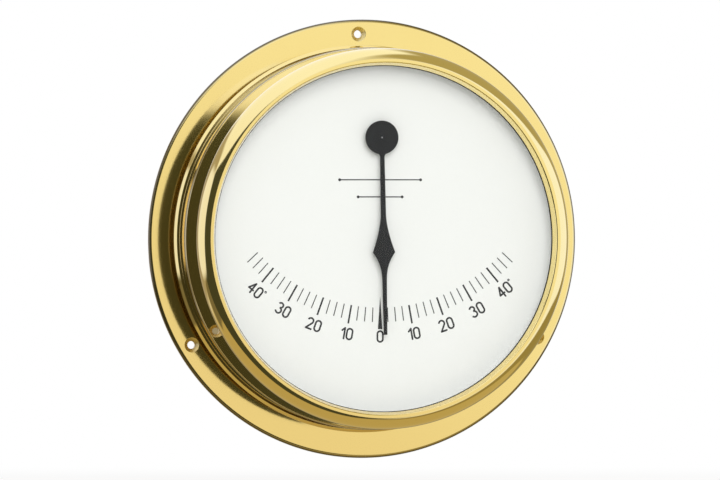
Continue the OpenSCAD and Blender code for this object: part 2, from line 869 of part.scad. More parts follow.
// Cover of the oil cup, with a pocket for the ring seal
module damper_cover() {
    pocket_d = arbor_d + 2 * (running_clearance + seal_cord) + 0.1;
    color("gainsboro")
        stand()
            at_pivot()
                difference() {
                    translate([0, 0, cup_top]) cylinder(d = cup_rim_d, h = cup_cover_t);
                    bore(arbor_d + 0.4, cup_top, rear_plate_back);
                    translate([0, 0, rear_plate_back - seal_cord - 0.1])
                        cylinder(d = pocket_d, h = seal_cord + cut);
                    at_cup_screws()
                        bore(cup_screw_d + 2 * hole_clearance, cup_top, rear_plate_back);
                }
}

// Ring seal about the arbor
module damper_seal() {
    color("black")
        stand()
            at_pivot()
                translate([0, 0, rear_plate_back - seal_cord / 2 - 0.1])
                    rotate_extrude()
                        translate([arbor_d / 2 + running_clearance + seal_cord / 2, 0])
                            circle(d = seal_cord, $fn = 24);
}

// Small screws through cup rim and cover into the rear plate
module damper_screws() {
    color("silver")
        stand()
            at_pivot()
                at_cup_screws()
                    translate([0, 0, cup_top - cup_rim_t])
                        cheese_head_screw(
                            cup_head_d, cup_head_t, cup_screw_d,
                            cup_rim_t + cup_cover_t + plate_t
                        );
}

// Stepped arbor from the damper to the pointer
module arbor() {
    color("lightgray")
        stand()
            at_pivot() {
                translate([0, 0, arbor_start]) cylinder(d = arbor_d, h = arbor_step - arbor_start);
                translate([0, 0, arbor_step]) cylinder(d = arbor_front_d, h = pointer_back - arbor_step);
                translate([0, 0, pointer_back]) cylinder(d = arbor_tip_d, h = arbor_end - pointer_back);
            }
}

// Half width of the blade at a distance below the pivot, with hollow flanks on the diamond
function flank(from, to, share, power) = from + (to - from) * pow(share, power);

// One side of the pointer's blade, from the disc down to the tip
function blade_side() = concat(
    [
        for (i = [0 : 5])
            let (s = 1 - i / 5)
            [flank(blade_w / 2, neck_w / 2, s, 2), -disc_d / 2 * neck_share - (1 - s) * neck_len]
    ],
    [
        for (i = [0 : 10])
            [flank(upper_w / 2, diamond_w / 2, i / 10, 1.6), -diamond_drop + diamond_above * (1 - i / 10)]
    ],
    [
        for (i = [1 : 10])
            [flank(blade_w / 2, diamond_w / 2, 1 - i / 10, 2.7), -diamond_drop - diamond_below * i / 10]
    ],
    [[tip_w / 2, -pointer_len]]
);

// Flat black pointer with its disc and its diamond
module pointer() {
    right = blade_side();
    left = [for (i = [len(right) - 1 : -1 : 0]) [-right[i][0], right[i][1]]];
    color([0.15, 0.15, 0.14])
        stand()
            at_pivot()
                rotate([0, 0, pointer_set])
                    translate([0, 0, pointer_back])
                        difference() {
                            union() {
                                cylinder(d = disc_d, h = pointer_t);
                                linear_extrude(pointer_t) polygon(concat(right, left));
                            }
                            translate([0, 0, -cut]) cylinder(d = arbor_tip_d, h = pointer_t + 2 * cut);
                        }
}

// Boss behind the pointer, pushed on the arbor
module pointer_collet() {
    color("darkkhaki")
        stand() at_pivot() tube(collet_d, arbor_front_d, pointer_back - collet_len, pointer_back);
}

// Barrel on the arbor that carries the rod, held between the bearing collars
module pendulum_hub() {
    hub_back = rear_plate_front + bush_collar_t + end_play;
    hub_front = front_plate_back - bush_collar_t - end_play;
    color("goldenrod")
        stand()
            at_pivot()
                difference() {
                    tube(hub_d, arbor_d, hub_back, hub_front);
                    translate([0, -hub_d / 2 - cut, rod_height])
                        rotate([-90, 0, 0]) cylinder(d = rod_d, h = rod_bite + cut);
                    translate([0, 0, rod_height])
                        rotate([-90, 0, 0]) cylinder(d = set_screw_d + 2 * hole_clearance, h = hub_d);
                }
}

// Grub screw that grips the arbor
module hub_set_screw() {
    arbor_r = arbor_d / 2;
    length = hub_d / 2 - arbor_r - 0.3;
    color("silver")
        stand()
            at_pivot()
                translate([0, arbor_r + length, rod_height])
                    rotate([90, 0, 0])
                        difference() {
                            cylinder(d = set_screw_d, h = length);
                            slot(set_screw_d, length * 0.5);
                        }
}

// Straight rod from the hub through the bob
module pendulum_rod() {
    color("lightgray")
        stand()
            at_pivot()
                translate([0, -rod_len, rod_height])
                    rotate([-90, 0, 0]) cylinder(d = rod_d, h = rod_len - hub_d / 2 + rod_bite);
}

// Flat round bob, drilled for the rod, with flats for its two nuts
module bob() {
    color("darkgoldenrod")
        stand()
            at_pivot()
                translate([0, -bob_drop, rod_height])
                    difference() {
                        intersection() {
                            translate([0, 0, -bob_t / 2]) cylinder(d = bob_d, h = bob_t);
                            cube([bob_d, 2 * bob_flat, bob_t + cut], center = true);
                        }
                        rotate([90, 0, 0])
                            cylinder(d = rod_d + 2 * hole_clearance, h = bob_d + 2 * cut, center = true);
                    }
}

// Hexagon nuts above and below the bob
module bob_nuts() {
    across = nut_w / cos(30);
    color("silver")
        stand()
            at_pivot()
                for (from = [-bob_drop + bob_flat, -bob_drop - bob_flat - nut_t])
                    translate([0, from, rod_height])
                        rotate([-90, 0, 0])
                            difference() {
                                cylinder(d = across, h = nut_t, $fn = 6);
                                translate([0, 0, -cut])
                                    cylinder(d = rod_d + 2 * hole_clearance, h = nut_t + 2 * cut);
                            }
}

// Disc on the arbor that turns in the oil
module damper_rotor() {
    rotor_d = cup_bore_d - 2 * rotor_gap;
    rotor_middle = cup_top - oil_depth / 2;
    color("silver")
        stand()
            at_pivot() {
                tube(rotor_d, arbor_d, rotor_middle - rotor_t / 2, rotor_middle + rotor_t / 2);
                tube(rotor_hub_d, arbor_d, rotor_middle - rotor_hub_t / 2, rotor_middle + rotor_hub_t / 2);
            }
}

case_shell();
bezel();
lip_seal();
glass();
glass_gasket();
spacer_ring();
dial_plate();
dial_scale();
back_cover();
back_gasket();
cover_screws();
standoffs();
movement_screws();
rear_plate();
front_plate();
pillars();
plate_screws();
rear_bearing();
front_bearing();
stop_pins();
damper_cup();
damper_cover();
damper_seal();
damper_screws();
arbor();
pointer();
pointer_collet();
pendulum_hub();
hub_set_screw();
pendulum_rod();
bob();
bob_nuts();
damper_rotor();
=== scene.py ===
# %% [markdown]
# # A brass inclinometer for a ship's bulkhead
# The real instrument is a round brass case with a wide wall flange. A white dial lies under flat glass, and a
# black pointer hangs in front of it on the arbor of a pendulum, which swings in oil behind the dial. The sizes
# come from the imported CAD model, so this script only dresses it: it gives every part its finish, turns the two
# polished parts anew with finer edges, and sets up the studio. Blender works in metres here. Only the outlines
# for the lathe and the drills are in millimetres, because their radii and heights read better so.

import json
import math

import bmesh
import bpy
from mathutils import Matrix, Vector


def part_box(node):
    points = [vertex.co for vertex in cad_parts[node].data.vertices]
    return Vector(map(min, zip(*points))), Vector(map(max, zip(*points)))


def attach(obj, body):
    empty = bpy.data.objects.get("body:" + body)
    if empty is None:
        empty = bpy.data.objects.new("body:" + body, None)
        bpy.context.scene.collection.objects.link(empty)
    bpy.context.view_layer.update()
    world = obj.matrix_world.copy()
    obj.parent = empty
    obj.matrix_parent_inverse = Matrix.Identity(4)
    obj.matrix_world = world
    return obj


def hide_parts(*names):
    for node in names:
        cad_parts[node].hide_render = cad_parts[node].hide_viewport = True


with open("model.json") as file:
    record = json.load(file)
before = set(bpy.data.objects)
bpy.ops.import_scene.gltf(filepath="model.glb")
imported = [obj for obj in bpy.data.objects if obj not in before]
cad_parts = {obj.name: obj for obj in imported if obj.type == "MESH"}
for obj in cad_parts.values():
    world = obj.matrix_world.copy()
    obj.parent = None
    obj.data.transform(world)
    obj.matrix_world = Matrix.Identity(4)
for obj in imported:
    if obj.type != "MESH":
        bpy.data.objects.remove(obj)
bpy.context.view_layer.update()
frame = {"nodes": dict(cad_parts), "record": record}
scene = bpy.context.scene
MM = 0.001

# %% [markdown]
# ## Measures
# The finishes need to know where things are, such as the radius at which the flange ends. Where a node's box
# tells a measure, it is read off the box, so that no finish can slip off its part. The few that no box tells,
# such as the circle of the wall holes, stand beside them as names. Heights count from the wall, against the Y
# axis.

# %% Read the measures off the nodes
def reach(node):
    """A round node's outer radius, and the heights of its back and front."""
    low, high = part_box(node)
    return (high.x - low.x) / 2, -high.y, -low.y


flange_r = reach("case_shell")[0]
bezel_r, bezel_back, crest_h = reach("bezel")
dial_r, dial_back, dial_front = reach("dial_plate")
pivot_z = sum(c.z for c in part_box("arbor")) / 2
print("flange, bezel and dial radius in mm:", [round(r / MM, 2) for r in (flange_r, bezel_r, dial_r)])
# The wall holes' circle, bore, countersink and turn, and the flange's thickness, in mm and degrees
WALL_HOLE_CIRCLE_R, WALL_HOLE_R, SINK_R, WALL_HOLE_TURN = 84.0, 1.6, 3.0, 1.2
WALL_HOLE_COUNT, FLANGE_H = 3, 3.0
# The case's wall, the top of its foot, the neck under the bezel, and the radius within which nobody polishes
WALL_R, FOOT_TOP, NECK_R, INNER_R = (v * MM for v in (77.3, 4.2, 76.2, 72.0))


def wall_hole_angle(number):
    """The angle at which one of the wall holes lies, in radians."""
    return math.radians(90 + WALL_HOLE_TURN + 360 / WALL_HOLE_COUNT * number)


print("bezel from", round(bezel_back / MM, 2), "to", round(crest_h / MM, 2), "mm above the wall")

# %% [markdown]
# ## Writing shaders as sums
# A material is a net of nodes, which is hard to read when every link is a line of code. A small class can stand
# for one socket, and Python's own signs can then add the Math nodes: `1 - mask * 0.3` becomes two nodes. All
# other nodes come from one method that takes the kind of node, its settings and what goes into its sockets.

# %% A socket that can be used in a sum, and the bench that adds nodes
class Wire:
    """One output socket. Sums, products and powers of wires add their Math nodes."""

    def __init__(self, bench, socket):
        self.bench, self.socket = bench, socket

    def out(self, name):
        return Wire(self.bench, self.socket.node.outputs[name])

    def math(self, operation, first, second=0.0):
        return self.bench.add("ShaderNodeMath", {"operation": operation}, {0: first, 1: second})

    def __add__(self, other):
        return self.math("ADD", self, other)

    def __sub__(self, other):
        return self.math("SUBTRACT", self, other)

    def __rsub__(self, other):
        return self.math("SUBTRACT", other, self)

    def __mul__(self, other):
        return self.math("MULTIPLY", self, other)

    def __truediv__(self, other):
        return self.math("DIVIDE", self, other)

    def __rtruediv__(self, other):
        return self.math("DIVIDE", other, self)

    def __pow__(self, other):
        return self.math("POWER", self, other)

    __radd__, __rmul__ = __add__, __mul__


class Bench:
    """The node tree of one material or of the world."""

    def __init__(self, owner):
        owner.use_nodes = True
        self.tree = owner.node_tree
        self.tree.nodes.clear()

    def add(self, kind, settings=None, sockets=None):
        node = self.tree.nodes.new(kind)
        for name, value in (settings or {}).items():
            setattr(node, name, value)
        for name, value in (sockets or {}).items():
            if isinstance(value, Wire):
                self.tree.links.new(value.socket, node.inputs[name])
            elif isinstance(value, tuple) and node.inputs[name].type == "RGBA":
                node.inputs[name].default_value = (*value, 1)
            else:
                node.inputs[name].default_value = value
        return Wire(self, node.outputs[0] if node.outputs else None)

    def mix(self, factor, first, second):
        """A colour between two others."""
        return self.add("ShaderNodeMix", {"data_type": "RGBA"}, {0: factor, 6: first, 7: second}).out(2)

    def rise(self, value, start, end):
        """0 before start, 1 after end and a soft step between."""
        return self.add(
            "ShaderNodeMapRange",
            {"interpolation_type": "SMOOTHSTEP"},
            {"Value": value, "From Min": start, "From Max": end},
        )

    def band(self, value, low, high, soft):
        """1 between low and high, with soft ends."""
        return self.rise(value, low - soft, low) - self.rise(value, high, high + soft)

    def noise(self, place, scale, detail=2.0, roughness=0.5):
        return self.add(
            "ShaderNodeTexNoise", {}, {"Vector": place, "Scale": scale, "Detail": detail, "Roughness": roughness}
        )

    def place(self):
        """The point on the piece, in metres, which moves with the piece."""
        return self.add("ShaderNodeTexCoord").out("Object")

    def split(self, vector):
        """The three parts of a vector, as wires."""
        parts = self.add("ShaderNodeSeparateXYZ", {}, {0: vector})
        return parts, parts.out("Y"), parts.out("Z")

    def join(self, x, y, z):
        return self.add("ShaderNodeCombineXYZ", {}, {0: x, 1: y, 2: z})

    def bump(self, height, distance):
        """A normal that leans as if the surface rose by the distance, in metres, where the height is 1."""
        sockets = {"Strength": 1.0, "Distance": distance, "Height": height}
        return self.add("ShaderNodeBump", {}, sockets).out("Normal")

    def show(self, surface):
        """Links the surface, or the world's background, to the tree's output."""
        kind = "ShaderNodeOutputWorld" if surface.socket.node.type == "BACKGROUND" else "ShaderNodeOutputMaterial"
        self.add(kind, {}, {"Surface": surface})

    def coat_of(self, **sockets):
        """A Principled surface. Names such as Base_Color stand for the socket's own name."""
        named = {name.replace("_", " "): value for name, value in sockets.items()}
        self.show(self.add("ShaderNodeBsdfPrincipled", {}, named))


finishes = {}


def finish(slot):
    """Begins the finish of a material slot and gives its bench."""
    finishes[slot] = bpy.data.materials.new("finish_" + slot)
    return Bench(finishes[slot])


print("the bench is ready")

# %% [markdown]
# ## Turned metal
# Most parts here come off a lathe, so their fine marks run round the axis. Those marks can be made from the two
# coordinates that matter, the distance from the axis and the height, with noise that is squeezed along them and
# drawn out round the axis. One helper gives this grain to every turned metal, and only its strength differs.

# %% Coordinates round an axis
def round_axis(bench, centre_z=0.0):
    """The place, the distance from the axis, the height above the wall, and a vector drawn out round the axis."""
    place = bench.place()
    x, y, z = bench.split(place)
    up = z - centre_z
    radius = (x * x + up * up) ** 0.5
    height = y * -1
    turn = bench.add("ShaderNodeMath", {"operation": "ARCTAN2"}, {0: up, 1: x})
    grain = bench.join(radius / MM, height / MM, turn * 1.5)
    return place, radius, height, grain


print("turned grain is drawn out round the axis")

# %% [markdown]
# ## Polished brass
# The case and the bezel are buffed to a mirror and lacquered. What makes such brass look real is how little it
# varies: the buff leaves a slow wave and a faint grain round the axis. The colour is painted a little deeper
# towards the lower left as painted shade, and a dark brown is painted at the rim, in the fillet and along the
# seam, partly tarnish where polish never reaches and partly painted shade.
# Nobody buffs the back or the inside, so both keep the lathe's rings and stay bare, and the countersinks stay
# satin. A painted image could show this, but masks made from radius and height stay sharp at any size and sit
# exactly on the edges of the part.

# %% Where the polish is broken, and where shade is painted
bench = finish("polished_brass")
place, radius, height, grain = round_axis(bench)
blotch = bench.noise(place, 28.0, 3.0)
smear = bench.noise(place, 220.0, 4.0, 0.6)
hairline = bench.noise(grain, 5.0, 2.0, 0.7)
# Painted shade: the rim, the fillet and the seam under the bezel get a dark brown that is partly tarnish and
# partly shade painted into the colour.
painted_rim_shade = bench.rise(radius, flange_r - 1.15 * MM, flange_r - 0.35 * MM) * bench.rise(height, 1.4 * MM, 2.2 * MM)
fillet = bench.band(radius, WALL_R - 0.3 * MM, WALL_R + 0.5 * MM, 0.6 * MM) * bench.band(
    height, FOOT_TOP - 0.3 * MM, FOOT_TOP + 0.4 * MM, 0.9 * MM
)
painted_seam_shade = bench.band(radius, NECK_R - 1.2 * MM, bezel_r + 1 * MM, 0.2 * MM) * bench.band(
    height, bezel_back - 0.9 * MM, bezel_back + 1.3 * MM, 0.4 * MM
)
tarnish_and_painted_shade = bench.add("ShaderNodeClamp", {}, {0: painted_rim_shade * 0.96 + fillet * 0.3 + painted_seam_shade * 0.72})
rings = bench.noise(grain, 2.0, 3.0, 0.75)
x, y, z = bench.split(place)
sunk = 0.0
for i in range(WALL_HOLE_COUNT):
    turn = wall_hole_angle(i)
    east, north = (v * WALL_HOLE_CIRCLE_R * MM for v in (math.cos(turn), math.sin(turn)))
    away = ((x - east) * (x - east) + (z - north) * (z - north)) ** 0.5
    sunk = 1 - bench.rise(away, SINK_R * MM, (SINK_R + 0.15) * MM) + sunk
back_face = 1 - bench.rise(height, 0.15 * MM, 0.5 * MM)
inside = 1 - bench.rise(radius, INNER_R - 1 * MM, INNER_R + 1 * MM)
inside = inside * (1 - bench.rise(height, dial_back, dial_front))
unpolished = bench.add("ShaderNodeMath", {"operation": "MAXIMUM"}, {0: back_face, 1: inside})
print("masks for tarnish, countersinks, back and inside:", len(bench.tree.nodes), "nodes")

# %% The polished brass
# Painted shade: the polished colour is painted a little darker towards the lower left.
low = bench.rise(x * -0.6 - z * 0.8, -0.06, 0.09)
clean = bench.mix(low, bench.mix(blotch, (0.96, 0.78, 0.31), (0.93, 0.74, 0.27)), (0.83, 0.62, 0.21))
plain = bench.mix(bench.rise(blotch, 0.4, 0.9), (0.84, 0.66, 0.28), (0.66, 0.48, 0.18))
plain = bench.mix(rings * 0.3, plain, (0.16, 0.09, 0.03))
colour_with_tarnish_and_painted_shade = bench.mix(tarnish_and_painted_shade, bench.mix(unpolished, clean, plain), (0.078, 0.054, 0.014))
bench.coat_of(
    Base_Color=colour_with_tarnish_and_painted_shade,
    Metallic=1.0,
    Coat_Weight=0.8 - unpolished * 0.8,
    Coat_Roughness=0.04,
    Roughness=0.04
    + blotch * 0.03
    + smear * 0.03
    + tarnish_and_painted_shade * 0.25
    + sunk * 0.35
    + unpolished * (0.16 + rings * 0.15),
    Normal=bench.bump(blotch + hairline * 0.004 + unpolished * rings * 6.0, 0.00001),
)
print("polished brass:", len(bench.tree.nodes), "nodes")

# %% [markdown]
# ## Sheet brass and bronze
# The back cover, the movement plates, the pillars and the bob are turned or rolled but never polished. They show
# the lathe's rings, a satin shine and a little brown. The bearings are bronze, which is redder.

# %% The plain brass and the bronze
def plain_brass(slot, light, dark, centre_z):
    bench = finish(slot)
    place, radius, height, grain = round_axis(bench, centre_z)
    rings = bench.noise(grain, 2.2, 3.0, 0.75)
    stain = bench.noise(place, 55.0, 4.0, 0.6)
    spots = bench.rise(bench.noise(place, 900.0, 2.0), 0.62, 0.72)
    tone = bench.mix(bench.rise(stain, 0.4, 0.9) * 0.7, light, dark)
    bench.coat_of(
        Base_Color=bench.mix(spots * 0.35 + rings * 0.2, tone, (0.16, 0.09, 0.03)),
        Metallic=1.0,
        Roughness=0.16 + rings * 0.14 + stain * 0.1 + spots * 0.15,
        Normal=bench.bump(rings + spots * 0.1, 0.00008),
    )
    print(slot, "has", len(bench.tree.nodes), "nodes")


plain_brass("sheet_brass", (0.80, 0.61, 0.26), (0.62, 0.44, 0.17), 0.0)
plain_brass("bearing_bronze", (0.62, 0.40, 0.22), (0.45, 0.27, 0.14), pivot_z)

# %% [markdown]
# ## Steel and aluminium
# The screws, the arbor and the rod are bright turned steel, and the damper is turned from aluminium. Both are
# grey metals that differ in tone and in how coarse the tool marks are, so one helper makes both. The end of the
# arbor stands through the pointer and was sprayed black with it, and only its middle is bare again.

# %% The grey metals
def grey_metal(slot, light, dark, coarse):
    bench = finish(slot)
    place, radius, height, grain = round_axis(bench, pivot_z)
    rings = bench.noise(grain, coarse, 3.0, 0.7)
    haze = bench.noise(place, 120.0, 3.0)
    pits = bench.rise(bench.noise(place, 1500.0, 1.0), 0.66, 0.74)
    sprayed = bench.rise(height, dial_front + 1 * MM, dial_front + 1.2 * MM)
    sprayed = sprayed * bench.rise(radius, 0.25 * MM, 0.32 * MM)
    bare = bench.mix(haze * 0.8 + pits * 0.2, light, dark)
    bench.coat_of(
        Base_Color=bench.mix(sprayed, bare, (0.01, 0.01, 0.01)),
        Metallic=1 - sprayed,
        Roughness=0.2 + haze * 0.14 + rings * 0.1 + pits * 0.2 + sprayed * 0.2,
        Normal=bench.bump(rings - pits * 0.5, 0.00002),
    )
    print(slot, "has", len(bench.tree.nodes), "nodes")


grey_metal("plain_steel", (0.66, 0.66, 0.64), (0.42, 0.42, 0.42), 3.0)
grey_metal("plain_aluminium", (0.82, 0.83, 0.84), (0.62, 0.63, 0.65), 1.5)

# %% [markdown]
# ## Enamel, ink and rubber
# The dial and the pointer are sprayed, which leaves a skin like very fine orange peel. The scale is printed, and
# its ink is a little thinner in places. The rubber rings are matt and hold some dust. All of them are the same
# kind of surface, a colour with soft speckle, so they share one helper with different numbers.

# %% The painted, printed and moulded surfaces
def skin(slot, light, dark, speckle, peel, roughness, depth):
    bench = finish(slot)
    place = bench.place()
    cloud = bench.noise(place, 18.0, 3.0)
    grit = bench.noise(place, speckle, 2.0)
    peel_height = bench.noise(place, peel, 1.0)
    bench.coat_of(
        Base_Color=bench.mix(cloud * 0.4 + grit * 0.6, light, dark),
        Roughness=roughness + cloud * 0.08 + grit * 0.06,
        Normal=bench.bump(peel_height, depth),
    )
    print(slot, "has", len(bench.tree.nodes), "nodes")


skin("dial_white", (0.892, 0.892, 0.872), (0.864, 0.864, 0.842), 700.0, 1100.0, 0.42, 0.000015)
skin("pointer_black", (0.006, 0.006, 0.006), (0.014, 0.014, 0.013), 900.0, 1300.0, 0.46, 0.00002)
skin("black_ink", (0.018, 0.018, 0.020), (0.045, 0.045, 0.045), 1600.0, 2400.0, 0.5, 0.00001)
skin("black_rubber", (0.020, 0.020, 0.020), (0.042, 0.041, 0.039), 1400.0, 1900.0, 0.62, 0.00003)

# %% [markdown]
# ## Glass
# The flat glass is coated, so that it hardly shows from the front, and still mirrors the room at a slant. A mix
# of a see-through shader and a gloss does this, with the Fresnel value less its share at a right angle. A few
# faint smears change the mix, as on any glass that has been wiped.

# %% The window glass
bench = finish("window_glass")
place = bench.place()
wiped = bench.add("ShaderNodeMapping", {}, {0: place, "Scale": (14.0, 14.0, 60.0)})
smears = bench.rise(bench.noise(wiped, 1.0, 3.0), 0.45, 0.8)
slant = bench.add("ShaderNodeLayerWeight", {}, {"Blend": 0.5}).out("Facing")
shine = bench.add("ShaderNodeClamp", {}, {0: slant ** 5 * 0.9 + 0.004 + smears * 0.004})
clear = bench.add("ShaderNodeBsdfTransparent", {}, {"Color": (0.995, 1.0, 0.998)})
gloss = bench.add("ShaderNodeBsdfAnisotropic", {}, {"Color": (1.0, 1.0, 1.0), "Roughness": 0.02})
bench.show(bench.add("ShaderNodeMixShader", {}, {0: shine, 1: clear, 2: gloss}))
print("window_glass has", len(bench.tree.nodes), "nodes")

# %% [markdown]
# ## Dressing the nodes
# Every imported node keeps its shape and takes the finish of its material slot.

# %% Give each node its finish
slot_of = {part["node"]: part["material_slot"] for part in frame["record"]["subparts"]}
for node, piece in frame["nodes"].items():
    for place_for_finish in piece.material_slots:
        place_for_finish.material = finishes[slot_of[node]]
print(len(frame["nodes"]), "nodes dressed with", len(finishes), "finishes")

# %% [markdown]
# ## Turning the case and the bezel
# These two parts make the picture, and their edges catch the light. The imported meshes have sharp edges, because
# a CAD solid needs no more, so both parts are turned again here: an outline in radius and height goes round the
# axis, as on a lathe. Every corner gets its own small rounding, with a narrow ring of faces on both sides of it.
# A subdivision surface could round the corners too, but it would also soften the flange, and here each radius is
# known.

# %% An outline with rounded corners
def rounded(corners, steps=6, hold=0.05):
    """Points along a closed outline of corners (radius, height, rounding), all in mm."""
    points = []
    for i, (r, h, radius) in enumerate(corners):
        here = Vector((r, h))
        if radius == 0:
            points.append(here)
            continue
        before = Vector(corners[i - 1][:2]) - here
        after = Vector(corners[(i + 1) % len(corners)][:2]) - here
        before.normalize()
        after.normalize()
        half = before.angle(after) / 2
        reach_along = radius / math.tan(half)
        middle = here + (before + after).normalized() * radius / math.sin(half)
        start, end = here + before * reach_along, here + after * reach_along
        points.append(start + before * hold)
        for step in range(steps + 1):
            share = step / steps
            towards_arc = ((start - middle) * (1 - share) + (end - middle) * share).normalized()
            points.append(middle + towards_arc * radius)
        points.append(end + after * hold)
    return points


case_r, neck_r, recess_r, foot_top = (v / MM for v in (WALL_R, NECK_R, INNER_R, FOOT_TOP))
BORE_R, DIAL_LEDGE, FOOT_R, FOOT_TOP_R = 74.2, 1.8, 79.4, 78.4
RECESS_H, SEAT_R, SEAT_H = 2.8, 67.0, 6.0
WALL_TOP, NECK_TOP = 17.0, 37.4
dial_back_mm = dial_back / MM
case_outline = rounded([
    (recess_r, 0, 0.3), (flange_r / MM, 0, 1.2), (flange_r / MM, FLANGE_H, 1.2),
    (FOOT_R, FLANGE_H, 0.15), (FOOT_TOP_R, foot_top, 0.25), (case_r, foot_top, 0.2),
    (case_r, WALL_TOP, 0.3), (neck_r, WALL_TOP, 0.1), (neck_r, NECK_TOP, 0.3), (BORE_R, NECK_TOP, 0.3),
    (BORE_R, dial_back_mm, 0.1), (BORE_R - DIAL_LEDGE, dial_back_mm, 0.2),
    (BORE_R - DIAL_LEDGE, dial_back_mm - DIAL_LEDGE, 0.3), (BORE_R, dial_back_mm - 2 * DIAL_LEDGE, 0.3),
    (BORE_R, SEAT_H, 0.5), (SEAT_R, SEAT_H, 0.2), (SEAT_R, RECESS_H, 0.2), (recess_r, RECESS_H, 0.2),
])
print("the case's outline has", len(case_outline), "points")

# %% The bezel's outline
BEZEL_BORE_R, FLARE_LEN, SIDE_R = 76.4, 1.8, 78.0
SHOULDER_W, SHOULDER_D = 4.8, 6.0
CREST_W, OPENING_R, LIP_H, LIP_BACK = 1.2, 70.9, 41.2, 40.6
SHOULDER_STEPS = 40
crest_mm, bezel_back_mm = crest_h / MM, bezel_back / MM
CREST_R = SIDE_R - SHOULDER_W
shoulder = []
for i in range(SHOULDER_STEPS + 1):
    turn = math.radians(90 * i / SHOULDER_STEPS)
    shoulder.append((CREST_R + SHOULDER_W * math.cos(turn), crest_mm - SHOULDER_D * (1 - math.sin(turn)), 0))
bezel_outline = rounded([
    (BEZEL_BORE_R, bezel_back_mm, 0.2), (bezel_r / MM, bezel_back_mm, 0.4),
    (SIDE_R, bezel_back_mm + FLARE_LEN, 0.8),
    *shoulder, (CREST_R - CREST_W, crest_mm, 0.5),
    (OPENING_R, LIP_H, 0.2), (OPENING_R, LIP_BACK, 0.1), (BEZEL_BORE_R, LIP_BACK, 0.1),
])
print("the bezel's outline has", len(bezel_outline), "points")

# %% The lathe
def turned(name, outline, turns=288):
    """A mesh made by turning a closed outline in mm about the instrument's axis."""
    mesh = bpy.data.meshes.new(name)
    corners, count = [], len(outline)
    for turn in range(turns):
        angle = 2 * math.pi * turn / turns
        across, up = math.cos(angle) * MM, math.sin(angle) * MM
        corners += [(p[0] * across, -p[1] * MM, p[0] * up) for p in outline]
    faces = []
    for turn in range(turns):
        here, there = turn * count, (turn + 1) % turns * count
        for i in range(count):
            following = (i + 1) % count
            faces.append((here + i, there + i, there + following, here + following))
    mesh.from_pydata(corners, [], faces)
    mesh.validate()
    piece = bpy.data.objects.new(name, mesh)
    scene.collection.objects.link(piece)
    return piece


def tidy_normals(mesh, angle=28.0):
    """Outward faces, smooth shading and sharp edges only where two faces meet at a clear angle."""
    work = bmesh.new()
    work.from_mesh(mesh)
    bmesh.ops.recalc_face_normals(work, faces=work.faces)
    work.to_mesh(mesh)
    work.free()
    mesh.shade_smooth()
    mesh.set_sharp_from_angle(angle=math.radians(angle))


case_piece = turned("turned_case", case_outline)
bezel_piece = turned("turned_bezel", bezel_outline)
for piece in (case_piece, bezel_piece):
    tidy_normals(piece.data)
    print(piece.name, "has", len(piece.data.polygons), "faces")

# %% [markdown]
# ## Boring the holes
# Three countersunk holes take the wall screws, and six tapped holes take the screws of the back cover. On the
# real case a drill goes through the finished casting, and here a boolean with turned drills does the same.
# Each drill is a small outline of its own, so the mouth of a countersink gets a rounded edge as well. The boolean
# cuts the flange into long thin faces, which shade badly by themselves, so a modifier then weighs each normal by
# the size of its faces and the flat faces mirror like flat faces.

# %% Drill the case
COVER_HOLE_CIRCLE_R, COVER_HOLE_R, COVER_HOLE_TOP, COVER_HOLE_COUNT = 69.5, 1.05, 5.5, 6
# The rounding of a hole's mouth, and how far a drill reaches past the metal, in mm
EDGE, PAST = 0.15, 1.0


def drill(work, outline, x, z, sides=48):
    """Adds a closed turned drill to a bmesh. Its outline runs from its tip to its end on the axis."""
    rings = []
    for r, h in outline:
        ring = [
            work.verts.new((
                (x + r * math.cos(2 * math.pi * s / sides)) * MM,
                -h * MM,
                (z + r * math.sin(2 * math.pi * s / sides)) * MM,
            ))
            for s in range(sides)
        ]
        rings.append(ring)
    for low, high in zip(rings, rings[1:]):
        for s in range(sides):
            work.faces.new((low[s], low[(s + 1) % sides], high[(s + 1) % sides], high[s]))
    work.faces.new(rings[0])
    work.faces.new(rings[-1])


work = bmesh.new()
for i in range(WALL_HOLE_COUNT):
    angle = wall_hole_angle(i)
    sink_h = FLANGE_H - (SINK_R - WALL_HOLE_R)
    drill(
        work,
        [(WALL_HOLE_R + EDGE, -PAST), (WALL_HOLE_R + EDGE, 0.0), (WALL_HOLE_R, EDGE), (WALL_HOLE_R, sink_h),
         (SINK_R - EDGE * 0.7, FLANGE_H - EDGE * 0.7), (SINK_R + EDGE * 0.3, FLANGE_H - EDGE * 0.1),
         (SINK_R + EDGE * 0.6, FLANGE_H), (SINK_R + EDGE * 0.6, FLANGE_H + PAST)],
        WALL_HOLE_CIRCLE_R * math.cos(angle), WALL_HOLE_CIRCLE_R * math.sin(angle),
    )
for i in range(COVER_HOLE_COUNT):
    angle = math.radians(90 + 360 / COVER_HOLE_COUNT * i)
    drill(
        work, [(COVER_HOLE_R, RECESS_H - PAST), (COVER_HOLE_R, COVER_HOLE_TOP)],
        COVER_HOLE_CIRCLE_R * math.cos(angle), COVER_HOLE_CIRCLE_R * math.sin(angle), 24,
    )
bmesh.ops.recalc_face_normals(work, faces=work.faces)
drill_mesh = bpy.data.meshes.new("drills")
work.to_mesh(drill_mesh)
work.free()
drills = bpy.data.objects.new("drills", drill_mesh)
scene.collection.objects.link(drills)
boring = case_piece.modifiers.new("boring", "BOOLEAN")
boring.object, boring.operation, boring.solver = drills, "DIFFERENCE", "EXACT"
bpy.context.view_layer.update()
bored = bpy.data.meshes.new_from_object(case_piece.evaluated_get(bpy.context.evaluated_depsgraph_get()))
case_piece.modifiers.remove(boring)
case_piece.data = bored
bored.name = "turned_case"
tidy_normals(bored)
bpy.data.objects.remove(drills)
print("the bored case has", len(bored.polygons), "faces")

